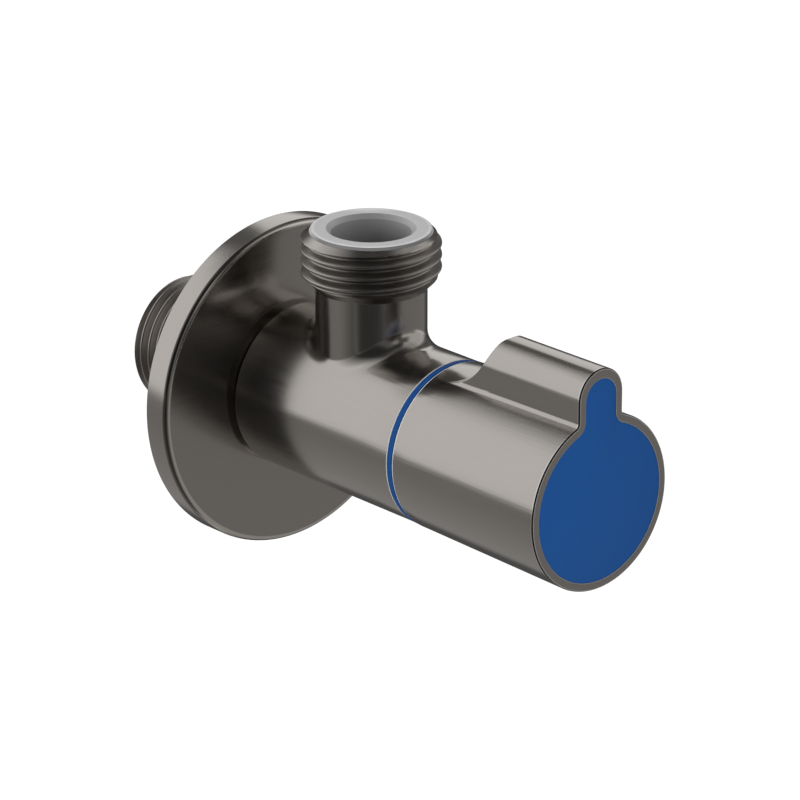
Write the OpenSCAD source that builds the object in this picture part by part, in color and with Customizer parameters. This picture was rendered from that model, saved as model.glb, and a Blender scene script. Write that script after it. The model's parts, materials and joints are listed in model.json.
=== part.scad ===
// Quarter-turn angle valve with a wall disc, a threaded outlet and a ribbed handle.
// The wall is the plane y = 0, the valve stands out of it towards -Y, and the outlet points to +Z.

/* [Thread connections] */
// Major diameter of the half-inch pipe threads at inlet and outlet
thread_d = 20.955; // [20.8:0.005:21.1]
// Depth of a thread, from crest to root
thread_depth = 1.162; // [1.1:0.001:1.2]
// Length of the inlet shank behind the wall plane
inlet_len = 22.4; // [12:0.1:40]
// Radius of the inlet waterway
inlet_bore_r = 7; // [5.8:0.1:7.4]

/* [Wall disc] */
// Radius of the wall disc
disc_r = 25.55; // [20:0.05:40]
// Height of the disc's face above the wall
disc_h = 4.45; // [4:0.05:8]
// Radius of the disc's rounded front edge
disc_edge_r = 0.7; // [0.2:0.05:1]
// Wall thickness of the disc shell
disc_wall = 1.3; // [1.1:0.1:1.8]
// Gap between the disc's face and the barrel's rear shoulder
disc_gap = 0.1; // [0.05:0.05:2]
// Radial clearance of the disc's bore over the thread
disc_bore_clearance = 0.35; // [0.2:0.05:0.8]
// Section radius of the ring that grips the shank
grip_section_r = 0.9; // [0.6:0.05:1.1]

/* [Barrel] */
// Radius of the valve barrel
barrel_r = 12.75; // [12.2:0.05:14]
// Length of the barrel between its shoulders
barrel_len = 34.8; // [34.5:0.1:36.9]
// Chamfer on the barrel's front rim
barrel_chamfer = 0.2; // [0.1:0.05:0.4]
// Chamfer on the barrel's rear rim, where the disc lies against it
barrel_back_chamfer = 0.9; // [0.2:0.1:1.2]
// Distance of the valve seat from the barrel's rear shoulder
seat_depth = 8.45; // [7.9:0.05:8.9]
// Thickness of the seat wall
seat_wall = 2; // [1:0.1:3]
// Wall of the barrel round the water chamber
barrel_wall = 2.75; // [2.2:0.05:2.9]

/* [Outlet] */
// Distance of the outlet's axis from the barrel's rear shoulder
outlet_setback = 17.4; // [16.4:0.1:18.4]
// Radius of the plain outlet neck
neck_r = 8.35; // [8:0.05:9]
// Radius of the fillet between neck and barrel
neck_fillet_r = 3; // [1.5:0.1:4]
// Height of the outlet's metal rim above the valve axis
outlet_h = 28.7; // [26:0.1:36]
// Length of the full outlet thread
outlet_thread_len = 5.4; // [4:0.1:7]
// Height of the lead-in chamfer above that thread
outlet_chamfer_h = 0.96; // [0.6:0.02:1.4]
// Radius of the outlet waterway
outlet_bore_r = 6; // [4.5:0.1:6.2]
// Thickness of the liner's flange
liner_flange_t = 0.5; // [0.4:0.1:1.5]
// Radius of the rounded rim of the liner's flange
liner_edge_r = 0.15; // [0.05:0.05:0.35]
// Wall of the liner's stem
liner_wall = 1; // [0.7:0.1:1.2]
// Length of the liner's stem in the neck
liner_stem_len = 8; // [4:0.5:10]
// Radial width of the bevel at the liner's mouth
liner_bevel = 0.74; // [0.3:0.02:0.9]

/* [Marking ring] */
// Width of the coloured ring between barrel and handle
ring_w = 1; // [0.6:0.1:1.6]
// Radial thickness of the ring
ring_t = 1.85; // [1.4:0.05:1.9]
// Height of the ring above the barrel's surface
ring_proud = 0.05; // [0:0.01:0.2]
// Gap between the ring and the turning handle
handle_gap = 0.12; // [0.08:0.02:0.5]

/* [Handle] */
// Length of the handle
handle_len = 30.12; // [29.6:0.02:34]
// Step from the barrel's surface up to the handle's back edge
handle_step = 0.11; // [0:0.01:0.4]
// Growth of the handle's radius from its back edge to its face
handle_taper = 0.48; // [0:0.02:1.6]
// Gap between the handle's skirt and the body's spigot
skirt_gap = 0.45; // [0.3:0.05:0.7]
// Width of the grip rib
rib_w = 8.6; // [6:0.1:11]
// Height of the rib's top above the edge of the handle's face
rib_rise = 7.18; // [5:0.02:12]
// Radius of the fillets at the rib's foot
rib_foot_r = 0.8; // [0.4:0.1:1.4]
// Radius of the thumb scoop at the rib's back end
scoop_r = 10.36; // [8:0.02:12]
// Distance of the scoop's lowest line from the handle's back edge
scoop_start = 1.4; // [0.5:0.1:4]
// Depth of the scoop's lowest line below the handle's back edge
scoop_sink = 0.99; // [0.7:0.01:1.3]
// Radius that softens the rib's top where the scoop ends
rib_tip_r = 0.9; // [0.4:0.1:2]
// Width of the metal rim round the coloured face
rim_w = 1.3; // [0.9:0.05:2]
// Extra width of that rim over the rib's top
rim_top_extra = 0.25; // [0:0.05:0.6]
// Depth of the recess in the handle's face
face_recess = 1.5; // [1:0.1:2.5]
// Distance of the coloured face below the rim
insert_sunk = 0.05; // [0.05:0.05:0.4]
// Thickness of the handle's front wall
front_wall = 5.1; // [4.6:0.1:6]
// Radius of the boss that carries the spline bush
boss_r = 6.9; // [6.6:0.1:8]
// Side of the square socket in the boss
socket_w = 8.7; // [8.6:0.1:9.2]
// Thickness of the webs that brace the boss
web_t = 1.4; // [1:0.1:2.5]

/* [Handle fastening] */
// Radius of the handle screw's thread
screw_r = 1.95; // [1.5:0.05:2]
// Length of the screw under its head
screw_len = 11.5; // [8:0.5:12]
// Radius of the screw's head
screw_head_r = 3.6; // [3:0.1:3.8]
// Height of the screw's head
screw_head_h = 2.1; // [1.6:0.1:2.2]
// Thickness of the washer under the head
washer_t = 0.5; // [0.3:0.1:0.6]
// Number of teeth on the spindle's spline
spline_teeth = 20; // [16:1:24]
// Outer radius of the spindle's spline
spline_r = 3.95; // [3.8:0.05:4.1]
// Distance between the spline's end and the handle's front wall
spline_short = 1.4; // [0.6:0.1:2]
// Depth of the spline's teeth
spline_depth = 0.45; // [0.3:0.05:0.5]

/* [Cartridge] */
// Height of the cartridge's thread above its cage
cage_thread_t = 0.3; // [0.2:0.05:0.4]
// Wall of the cage round the discs
cage_wall = 0.9; // [0.8:0.05:1.2]
// Length of the cartridge's thread
cage_thread_len = 8; // [5:0.5:8]
// Length of the sleeve above the flange
sleeve_len = 5.5; // [5:0.1:6]
// Outer radius of that sleeve
sleeve_r = 6.6; // [6.4:0.1:7]
// Distance of the flange's flats inside the spigot's surface
flange_inset = 1.45; // [1.45:0.05:2]
// Thickness of the flange
flange_t = 3; // [2:0.1:3.5]
// Length of the body's spigot in front of the barrel
spigot_len = 3.6; // [3:0.1:5]
// Plain relief between the cartridge's thread and its flange side
thread_relief = 0.8; // [0.4:0.1:1.2]
// Wall of the spigot round the cartridge's thread
spigot_wall = 1.5; // [1.2:0.05:1.7]
// Width of the lip that keeps the gasket in the spigot
gasket_lip = 0.6; // [0.4:0.05:0.7]
// Thickness of that gasket
gasket_t = 1.2; // [0.8:0.1:1.5]
// Thickness of the ceramic discs
ceramic_t = 3.2; // [2.6:0.1:3.4]
// Width of the sealing land outside the discs' ports
land_w = 1.6; // [1:0.1:2.4]
// Inner radius of the ports
port_in_r = 2.2; // [2:0.1:3]
// Half the opening angle of the ports, in degrees
port_half_angle = 35; // [20:1:40]
// Wall of the seat seal
seal_wall = 1.75; // [1:0.05:2]
// Wall of the support ring inside the seat seal
support_t = 0.6; // [0.4:0.1:1]
// Height of the rubber seat seal
seal_h = 2.6; // [2.2:0.1:2.8]
// Radius of the spindle's stem
stem_r = 4.45; // [4.3:0.05:4.6]
// Radial clearance of the stem in its sleeve
stem_clearance = 0.05; // [0.02:0.01:0.08]
// Radial clearance of the spindle's thrust collar in the cage
collar_play = 0.8; // [0.4:0.1:1.2]
// Thickness of the slip washer above the collar
slip_t = 0.6; // [0.4:0.1:0.8]
// Width of the bar that drives the moving disc
drive_w = 3.6; // [3:0.1:4]
// Depth of the slot that the bar sits in
drive_depth = 1.4; // [1:0.1:1.8]
// Height of the windows in the cage
window_h = 3.8; // [3:0.1:4.2]
// Width of those windows
window_w = 7; // [5:0.1:8]
// Width of the ears that keep the fixed disc from turning
ear_w = 2.4; // [1.6:0.1:3]
// Thickness of the spindle's thrust collar
collar_t = 1.6; // [1.2:0.1:1.8]
// Section radius of the spindle's sealing rings
stem_ring_r = 0.6; // [0.5:0.05:0.65]
// Distance of the first sealing ring from the slip washer
stem_ring_start = 6; // [4:0.5:7]
// Distance between the two sealing rings
stem_ring_pitch = 5; // [3:0.5:6]
// Thickness of the retaining clip
clip_t = 0.6; // [0.5:0.05:0.7]
// Thickness of the stop ring
stop_t = 1.4; // [1:0.1:1.6]
// Turn of the handle between open and closed, in degrees
handle_turn = 90; // [60:5:100]

/* [Hidden] */
$fn = 96;

// Finishes
metal_color = [0.42, 0.41, 0.39];
brass_color = [0.78, 0.62, 0.32];
mark_color = [0.13, 0.30, 0.53];
liner_color = [0.73, 0.73, 0.73];
rubber_color = [0.12, 0.12, 0.12];
ceramic_color = [0.93, 0.92, 0.88];
plastic_color = [0.90, 0.90, 0.86];

// A cut reaches this far past the face that it opens
past = 0.5;
// Fillet pieces sink this far into the surfaces that they join
sink = 0.02;
// Radial clearance between pieces that fit into each other without turning
fit = 0.05;
// Clearance between pieces that turn past each other
free = 0.3;
// Thickness of the wall that the stop ring's tab turns in front of
stop_lug_t = 0.8;
// The seat seal reaches this far behind the cage
seal_bare = 1.2;
// Gaps that keep the moving disc and the collar clear of the windows
window_gap = 0.6;
collar_gap = 0.2;
// Pieces of one solid run this far into each other
root = 1;
// The outlet's metal rim lies this far inside the thread's root
rim_inset = 0.1;

// Places along the valve axis, as distances in front of the wall
thread_r = thread_d / 2;
thread_root_r = thread_r - thread_depth;
shank_r = thread_r - 0.3;
barrel_back = disc_h + disc_gap;
barrel_front = barrel_back + barrel_len;
seat_d = barrel_back + seat_depth;
outlet_d = barrel_back + outlet_setback;
outlet_rim_r = thread_root_r - rim_inset;
chamber_r = barrel_r - barrel_wall;
spigot_r = barrel_r - ring_t - fit;
spigot_front = barrel_front + spigot_len;
handle_back = barrel_front + ring_w + handle_gap;
handle_front = handle_back + handle_len;
recess_floor = handle_front - face_recess;
plate_back = recess_floor - front_wall;
handle_back_r = barrel_r + handle_step;
handle_front_r = handle_back_r + handle_taper;
rib_top = handle_front_r + rib_rise;
scoop_floor = handle_back_r - scoop_sink;
skirt_r = spigot_r + skirt_gap;

// The cartridge's radii, from its thread inwards
cage_thread_r = spigot_r - spigot_wall - fit;
cage_r = cage_thread_r - cage_thread_t;
cage_pocket_r = cage_r - cage_wall;
land_r = cage_pocket_r - 2 * fit;
port_out_r = land_r - land_w;
support_r = land_r - seal_wall - fit;
seat_orifice_r = support_r - support_t;
collar_r = cage_pocket_r - collar_play;
hex_r = (spigot_r - flange_inset) / cos(30);

// The ceramic stack, from the seat outwards
fixed_back = seat_d + seal_h;
moving_back = fixed_back + ceramic_t;
moving_front = moving_back + ceramic_t;
cage_back = seat_d + seal_bare;
window_back = moving_front + window_gap;
collar_back = window_back + window_h + collar_gap;
slip_back = collar_back + collar_t;
pocket_end = slip_back + slip_t;

// The cartridge's upper half
cage_thread_front = barrel_front - thread_relief;
cage_thread_back = cage_thread_front - cage_thread_len;
flange_back = spigot_front;
sleeve_front = flange_back + flange_t + sleeve_len;
clip_back = sleeve_front;
clip_front = clip_back + clip_t;
stop_back = clip_front;
stop_front = stop_back + stop_t;
stem_bore_r = stem_r + stem_clearance;
clip_groove_r = spline_r - spline_depth;
clip_r = sleeve_r - 1.5 * stop_lug_t;
stop_lug_r = sleeve_r - stop_lug_t;
stem_ring_places = [pocket_end + stem_ring_start, pocket_end + stem_ring_start + stem_ring_pitch];
stop_tab_angle = 40;
stop_play = 1;

// The handle's fastening
screw_head_back = recess_floor - 2 * fit - screw_head_h;
washer_back = screw_head_back - washer_t;
screw_pocket_r = screw_head_r + free;
screw_tip = washer_back - screw_len;
bush_back = stop_front + free;
spline_front = plate_back - spline_short;
bush_front = plate_back - free;
peg_r = 1.2;
peg_len = 2.5;
peg_x = 7.5;
peg_y = -4;
peg_places = [[-peg_x, peg_y], [peg_x, peg_y], [0, rib_top - rib_w / 2 - 2.5 * peg_r]];

// Lays a shape along the valve axis: its z is the distance in front of the wall, its y is up
module along_valve(d = 0) {
  rotate([90, 0, 0]) translate([0, 0, d]) children();
}

// Lays a shape along the outlet's axis
module along_outlet(h = 0) {
  translate([0, -outlet_d, h]) children();
}

// A disc or tube of radius r between two distances
module drum(r, from, to) {
  translate([0, 0, from]) cylinder(r = r, h = to - from);
}

module tube(r_out, r_in, from, to) {
  difference() {
    drum(r_out, from, to);
    drum(r_in, from - past, to + past);
  }
}

// A round rod whose ends are chamfered by c at the back and f at the front
module chamfered_drum(r, from, to, c, f) {
  rotate_extrude()
    polygon([[0, from], [r - c, from], [r, from + c], [r, to - f], [r - f, to], [0, to]]);
}

// A ring of round section
module round_ring(r_mid, section, d) {
  translate([0, 0, d]) rotate_extrude() translate([r_mid, 0]) circle(r = section, $fn = 48);
}

// A flat sector of a ring, centred on the direction a
module ring_sector(r_out, r_in, a, half_angle) {
  reach = 2 * r_out;
  intersection() {
    difference() {
      circle(r = r_out);
      if (r_in > 0) circle(r = r_in);
    }
    rotate(a)
      polygon([
        [0, 0],
        [reach * cos(half_angle), -reach * sin(half_angle)],
        [reach, 0],
        [reach * cos(half_angle), reach * sin(half_angle)]
      ]);
  }
}

// Centre of the ball that rolls round the neck's foot, at the angle a
function ball_at(a) =
  let (reach = neck_r + neck_fillet_r, x = reach * cos(a))
  [x, reach * sin(a) - outlet_d, sqrt(pow(barrel_r + neck_fillet_r, 2) - x * x)];

// Direction between two unit vectors w degrees apart, at the share t of the way
function turned(u, v, w, t) = (sin((1 - t) * w) * u + sin(t * w) * v) / sin(w);

// One section of the fillet: the ball's arc from neck to barrel, then a point inside the metal
function fillet_section(a, steps) =
  let (
    c = ball_at(a),
    to_neck = [-cos(a), -sin(a), 0],
    to_barrel = -[c[0], 0, c[2]] / (barrel_r + neck_fillet_r),
    w = acos(to_neck * to_barrel),
    foot = c + neck_fillet_r * to_barrel,
    inner = neck_r - root
  )
  [
    c + (neck_fillet_r + sink) * to_neck,
    for (i = [1:steps - 1]) c + neck_fillet_r * turned(to_neck, to_barrel, w, i / steps),
    c + (neck_fillet_r + sink) * to_barrel,
    [inner * cos(a), inner * sin(a) - outlet_d, foot[2] - root]
  ];

// Fillet between the round neck and the round barrel, swept as a ball rolls round the neck's foot
module neck_fillet() {
  around = 72;
  steps = 7;
  loop = steps + 2;
  points = [
    for (i = [0:around - 1])
      for (p = fillet_section(360 * i / around, steps)) p
  ];
  faces = [
    for (i = [0:around - 1])
      for (j = [0:loop - 1])
        let (
          next_i = (i + 1) % around,
          next_j = (j + 1) % loop,
          a = i * loop + j,
          b = next_i * loop + j,
          c = next_i * loop + next_j,
          d = i * loop + next_j
        )
        each [[a, b, c], [a, c, d]]
  ];
  polyhedron(points = points, faces = faces, convexity = 4);
}

// Outside of the outlet: plain neck, run-out cone, thread and lead-in chamfer
module outlet_outside() {
  run_out = thread_r - neck_r;
  thread_top = outlet_h - outlet_chamfer_h;
  thread_bottom = thread_top - outlet_thread_len;
  root_h = sqrt(pow(barrel_r, 2) - pow(neck_r, 2)) - root;
  along_outlet()
    rotate_extrude()
      polygon([
        [0, root_h],
        [neck_r, root_h],
        [neck_r, thread_bottom - run_out],
        [thread_r, thread_bottom],
        [thread_r, thread_top],
        [outlet_rim_r, outlet_h],
        [0, outlet_h]
      ]);
}

module valve_body() {
  inlet_chamfer = 1.2;
  color(metal_color)
    difference() {
      union() {
        along_valve() {
          chamfered_drum(thread_r, -inlet_len, 0, inlet_chamfer, 0);
          drum(shank_r, -root, barrel_back + root);
          chamfered_drum(barrel_r, barrel_back, barrel_front, barrel_back_chamfer, barrel_chamfer);
          drum(spigot_r, barrel_front - root, spigot_front);
        }
        outlet_outside();
        neck_fillet();
      }
      along_valve() {
        drum(inlet_bore_r, -inlet_len - past, seat_d - seat_wall);
        drum(seat_orifice_r, seat_d - seat_wall - past, seat_d + past);
        drum(chamber_r, seat_d, cage_thread_back);
        drum(cage_thread_r + fit, cage_thread_back - past, spigot_front + past);
        drum(spigot_r - gasket_lip, spigot_front - gasket_t, spigot_front + past);
      }
      along_outlet() {
        drum(outlet_bore_r, 0, outlet_h + past);
        drum(outlet_bore_r + liner_wall + fit, outlet_h - liner_stem_len - fit, outlet_h + past);
      }
    }
}

module wall_disc() {
  bore_r = thread_r + disc_bore_clearance;
  groove_d = disc_h / 2;
  groove_r = thread_r + fit + 2 * grip_section_r + fit;
  hub_r = groove_r + disc_wall;
  color(metal_color)
    along_valve()
      rotate_extrude()
        difference() {
          union() {
            square([disc_r, disc_h - disc_edge_r]);
            square([disc_r - disc_edge_r, disc_h]);
            translate([disc_r - disc_edge_r, disc_h - disc_edge_r]) circle(r = disc_edge_r);
          }
          translate([hub_r, -past]) square([disc_r - disc_wall - hub_r, disc_h - disc_wall + past]);
          translate([-past, -past]) square([bore_r + past, disc_h + 2 * past]);
          translate([bore_r - past, groove_d - grip_section_r - fit])
            square([groove_r - bore_r + past, 2 * (grip_section_r + fit)]);
        }
}

module disc_grip_ring() {
  color(rubber_color)
    along_valve()
      round_ring(thread_r + fit + grip_section_r, grip_section_r, disc_h / 2);
}

module outlet_liner() {
  flange_r = outlet_rim_r;
  top = outlet_h + liner_flange_t;
  stem_out = outlet_bore_r + liner_wall;
  color(liner_color)
    along_outlet()
      rotate_extrude()
        difference() {
          union() {
            translate([0, outlet_h - liner_stem_len]) square([stem_out, liner_stem_len + past]);
            translate([0, outlet_h]) square([flange_r, liner_flange_t - liner_edge_r]);
            translate([0, outlet_h]) square([flange_r - liner_edge_r, liner_flange_t]);
            translate([flange_r - liner_edge_r, top - liner_edge_r]) circle(r = liner_edge_r);
          }
          translate([-past, 0]) square([outlet_bore_r + past, top + past]);
          polygon([
            [outlet_bore_r - past, top - liner_bevel - past],
            [outlet_bore_r, top - liner_bevel],
            [outlet_bore_r + liner_bevel, top],
            [outlet_bore_r + liner_bevel, top + past],
            [outlet_bore_r - past, top + past]
          ]);
        }
}

module marking_ring() {
  color(mark_color)
    along_valve()
      tube(barrel_r + ring_proud, spigot_r + fit, barrel_front, barrel_front + ring_w);
}

// Fillet in the corner between a circle of radius r and an upright edge at x = half_w
module corner_fill(r, half_w, fillet) {
  x = half_w + fillet;
  y = sqrt(pow(r + fillet, 2) - x * x);
  contact_x = x * r / (r + fillet);
  difference() {
    translate([half_w - root, y - 2 * fillet]) square([contact_x - half_w + root, 2 * fillet]);
    translate([x, y]) circle(r = fillet + sink / 2);
  }
}

// Keyhole outline of the handle's face: a circle with an upright, round-topped arm
module keyhole(r, half_w, top, fillet) {
  circle(r = r);
  translate([0, top - half_w]) circle(r = half_w);
  translate([-half_w, 0]) square([2 * half_w, top - half_w]);
  corner_fill(r, half_w, fillet);
  mirror([1, 0]) corner_fill(r, half_w, fillet);
}

// Outline of the handle's face, drawn in by inset
module face_outline(inset) {
  top = rib_top - inset - rim_top_extra;
  keyhole(handle_front_r - inset, rib_w / 2 - inset, top, rib_foot_r + inset);
}

// Height of a foot fillet's centre line where the handle's radius is r
function foot_height(r) = sqrt(pow(r + rib_foot_r, 2) - pow(rib_w / 2 + rib_foot_r, 2));

// Fillet along one foot of the rib, tilted with the handle's taper
module rib_foot() {
  x = rib_w / 2 + rib_foot_r;
  back_h = foot_height(handle_back_r);
  front_h = foot_height(handle_front_r);
  tilt = atan((front_h - back_h) / handle_len);
  mid_r = (handle_back_r + handle_front_r) / 2;
  contact_x = x * mid_r / (mid_r + rib_foot_r);
  length = 2 * handle_len;
  translate([0, back_h, handle_back]) rotate([-tilt, 0, 0])
    difference() {
      translate([rib_w / 2 - root, -2 * rib_foot_r, -handle_len / 2])
        cube([contact_x - rib_w / 2 + root, 2 * rib_foot_r, length]);
      translate([x, 0, -handle_len]) cylinder(r = rib_foot_r + sink / 2, h = 2 * length);
    }
}

// Grip rib: round-topped, with filleted feet, before the scoop is cut
module rib_blank() {
  intersection() {
    translate([-rib_w, 0, handle_back]) cube([2 * rib_w, rib_top + root, handle_len]);
    union() {
      translate([0, 0, handle_back]) linear_extrude(handle_len) {
        translate([0, rib_top - rib_w / 2]) circle(r = rib_w / 2);
        translate([-rib_w / 2, 0]) square([rib_w, rib_top - rib_w / 2]);
      }
      rib_foot();
      mirror([1, 0, 0]) rib_foot();
    }
  }
}

// The thumb scoop and the softened tip above it, swept across the rib
module rib_scoop() {
  floor_d = handle_back + scoop_start;
  centre_y = scoop_floor + scoop_r;
  tip_y = rib_top - rib_tip_r;
  tip_d = floor_d + sqrt(pow(scoop_r + rib_tip_r, 2) - pow(centre_y - tip_y, 2));
  touch = scoop_r / (scoop_r + rib_tip_r);
  touch_d = floor_d + touch * (tip_d - floor_d);
  touch_y = centre_y + touch * (tip_y - centre_y);
  // Drawn with x as the distance and y as the height, then turned across the rib
  translate([-rib_w, 0, 0]) rotate([0, 90, 0]) mirror([1, 0, 0])
    linear_extrude(2 * rib_w) {
      translate([floor_d, centre_y]) circle(r = scoop_r);
      translate([handle_back - past, scoop_floor])
        square([scoop_start + past, rib_top - scoop_floor + root]);
      difference() {
        polygon([
          [floor_d, centre_y],
          [touch_d, touch_y],
          [tip_d, tip_y],
          [tip_d, rib_top + root],
          [floor_d, rib_top + root]
        ]);
        translate([tip_d, tip_y]) circle(r = rib_tip_r + sink / 4);
      }
    }
}

module handle_shell() {
  web_setback = 3;
  color(metal_color)
    along_valve()
      difference() {
        union() {
          difference() {
            union() {
              translate([0, 0, handle_back])
                cylinder(r1 = handle_back_r, r2 = handle_front_r, h = handle_len);
              difference() {
                rib_blank();
                rib_scoop();
              }
            }
            drum(skirt_r, handle_back - past, plate_back);
          }
          drum(boss_r, bush_back, plate_back + past);
          for (a = [30, 150, 270])
            rotate(a) translate([boss_r - past, -web_t / 2, bush_back + web_setback])
              cube([skirt_r - boss_r + 2 * past, web_t, plate_back - bush_back - web_setback + past]);
        }
        translate([-socket_w / 2, -socket_w / 2, bush_back - past])
          cube([socket_w, socket_w, plate_back - bush_back + past]);
        drum(screw_r + free, plate_back - past, recess_floor);
        drum(screw_pocket_r, washer_back, recess_floor + past);
        translate([0, 0, recess_floor])
          linear_extrude(face_recess + past)
            face_outline(rim_w);
        for (p = peg_places)
          translate([p[0], p[1], 0]) drum(peg_r + fit, recess_floor - peg_len - free, recess_floor + past);
      }
}

module handle_insert() {
  inset = rim_w + fit;
  color(mark_color)
    along_valve() {
      translate([0, 0, recess_floor])
        linear_extrude(face_recess - insert_sunk)
          face_outline(inset);
      for (p = peg_places)
        translate([p[0], p[1], 0]) drum(peg_r, recess_floor - peg_len, recess_floor + past);
    }
}

module handle_screw() {
  slot_w = 0.9;
  slot_depth = 1.2;
  slot_len = 4;
  head_front = screw_head_back + screw_head_h;
  color(brass_color)
    along_valve()
      difference() {
        union() {
          drum(screw_r, screw_tip, screw_head_back + past);
          chamfered_drum(screw_head_r, screw_head_back, head_front, 0, slot_w / 2);
        }
        for (a = [0, 90])
          rotate(a) translate([-slot_len / 2, -slot_w / 2, head_front - slot_depth])
            cube([slot_len, slot_w, slot_depth + past]);
      }
}

module screw_washer() {
  color(metal_color)
    along_valve()
      tube(screw_head_r, screw_r + 3 * fit, washer_back, screw_head_back);
}

// Star outline of the spline, with its teeth grown by extra
module spline_outline(extra) {
  step = 360 / spline_teeth;
  // Where a tooth's tip and the gap after it start and end, as shares of one step
  r_out = spline_r + extra;
  r_in = spline_r - spline_depth + extra;
  polygon([
    for (i = [0:spline_teeth - 1])
      for (k = [[0.12, r_out], [0.38, r_out], [0.62, r_in], [0.88, r_in]])
        [k[1] * cos((i + k[0]) * step), k[1] * sin((i + k[0]) * step)]
  ]);
}

module spline_bush() {
  side = socket_w - 2 * fit;
  color(plastic_color)
    along_valve()
      translate([0, 0, bush_back])
        linear_extrude(bush_front - bush_back)
          difference() {
            translate([-side / 2, -side / 2]) square(side);
            spline_outline(fit);
          }
}

module cartridge_housing() {
  lug_free = stop_tab_angle + handle_turn + 2 * stop_play;
  lug_half = (360 - lug_free) / 2;
  // The lug fills the ring on the side that the stop ring's tab never reaches
  lug_mid = 90 - handle_turn / 2 + 180;
  color(brass_color)
    along_valve()
      difference() {
        union() {
          drum(cage_r, cage_back, flange_back + past);
          drum(cage_thread_r, cage_thread_back, cage_thread_front);
          translate([0, 0, flange_back])
            cylinder(r = hex_r, h = flange_t, $fn = 6);
          drum(sleeve_r, flange_back, sleeve_front);
          translate([0, 0, sleeve_front])
            linear_extrude(clip_t + stop_t)
              ring_sector_wide(sleeve_r, stop_lug_r, lug_mid, lug_half);
        }
        drum(cage_pocket_r, cage_back - past, pocket_end);
        drum(stem_bore_r, pocket_end - past, sleeve_front + stop_t + past);
        for (a = [0:90:270])
          rotate(a) translate([0, -window_w / 2, window_back]) cube([cage_r + past, window_w, window_h]);
        for (a = [0, 180])
          rotate(a) translate([0, -ear_w / 2 - fit, cage_back - past])
            cube([cage_r + past, ear_w + 2 * fit, moving_back - cage_back + past]);
      }
}

// A sector wider than half a turn: the ring less the sector opposite
module ring_sector_wide(r_out, r_in, a, half_angle) {
  difference() {
    circle(r = r_out);
    circle(r = r_in);
    ring_sector(2 * r_out, 0, a + 180, 180 - half_angle);
  }
}

module housing_gasket() {
  color(rubber_color)
    along_valve()
      tube(spigot_r - gasket_lip - fit, cage_r + fit, spigot_front - gasket_t, spigot_front);
}

module spindle() {
  bar_len = 2 * (land_r - 1.2);
  slot_floor = moving_front - drive_depth;
  waist_r = stem_r - 0.9;
  color(brass_color)
    along_valve()
      difference() {
        union() {
          translate([-drive_w / 2 + fit, -bar_len / 2, slot_floor + fit])
            cube([drive_w - 2 * fit, bar_len, window_back - slot_floor]);
          drum(waist_r, window_back - past, collar_back + past);
          drum(collar_r, collar_back, slip_back);
          drum(stem_r, slip_back - past, sleeve_front - fit);
          drum(clip_groove_r, sleeve_front - past, stop_back);
          translate([0, 0, clip_front]) linear_extrude(spline_front - clip_front) spline_outline(0);
        }
        for (d = stem_ring_places)
          tube(stem_r + past, stem_r - 2 * stem_ring_r, d - stem_ring_r - fit, d + stem_ring_r + fit);
        drum(screw_r + fit, screw_tip - past, spline_front + past);
      }
}

module spindle_seal_rings() {
  color(rubber_color)
    along_valve()
      for (d = stem_ring_places)
        round_ring(stem_r - stem_ring_r + sink, stem_ring_r, d);
}

module spindle_clip() {
  mouth_w = 5.6;
  color(metal_color)
    along_valve()
      difference() {
        tube(clip_r, clip_groove_r + fit, clip_back, clip_front);
        translate([0, -mouth_w / 2, clip_back - past]) cube([clip_r + past, mouth_w, clip_t + 2 * past]);
      }
}

module stop_ring() {
  tab_r = sleeve_r - 2 * fit;
  hub_r = stop_lug_r - free;
  color(plastic_color)
    along_valve()
      translate([0, 0, stop_back])
        linear_extrude(stop_t)
          difference() {
            union() {
              circle(r = hub_r);
              ring_sector(tab_r, hub_r - root, 90, stop_tab_angle / 2);
            }
            spline_outline(fit);
          }
}

module slip_washer() {
  color(plastic_color)
    along_valve()
      tube(collar_r + free, stem_bore_r + fit, slip_back, pocket_end);
}

// Two ports, left and right of the axis, that a disc of a given radius carries
module disc_ports(from, to) {
  translate([0, 0, from])
    linear_extrude(to - from)
      for (a = [0, 180]) ring_sector(port_out_r, port_in_r, a, port_half_angle);
}

module moving_disc() {
  color(ceramic_color)
    along_valve()
      difference() {
        drum(land_r, moving_back, moving_front);
        disc_ports(moving_back - past, moving_front + past);
        translate([-drive_w / 2, -land_r - past, moving_front - drive_depth])
          cube([drive_w, 2 * (land_r + past), drive_depth + past]);
      }
}

module fixed_disc() {
  color(ceramic_color)
    along_valve()
      difference() {
        union() {
          drum(land_r, fixed_back, moving_back);
          translate([-cage_r + 2 * fit, -ear_w / 2, fixed_back])
            cube([2 * (cage_r - 2 * fit), ear_w, ceramic_t]);
        }
        disc_ports(fixed_back - past, moving_back + past);
      }
}

module seat_seal() {
  color(rubber_color)
    along_valve()
      tube(land_r, support_r + fit, seat_d, fixed_back);
}

module seal_support_ring() {
  color(brass_color)
    along_valve()
      tube(support_r, seat_orifice_r, seat_d, fixed_back);
}

valve_body();
wall_disc();
disc_grip_ring();
outlet_liner();
marking_ring();
handle_shell();
handle_insert();
handle_screw();
screw_washer();
spline_bush();
cartridge_housing();
housing_gasket();
spindle();
spindle_seal_rings();
spindle_clip();
stop_ring();
slip_washer();
moving_disc();
fixed_disc();
seat_seal();
seal_support_ring();
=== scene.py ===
import json
import math

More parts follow.
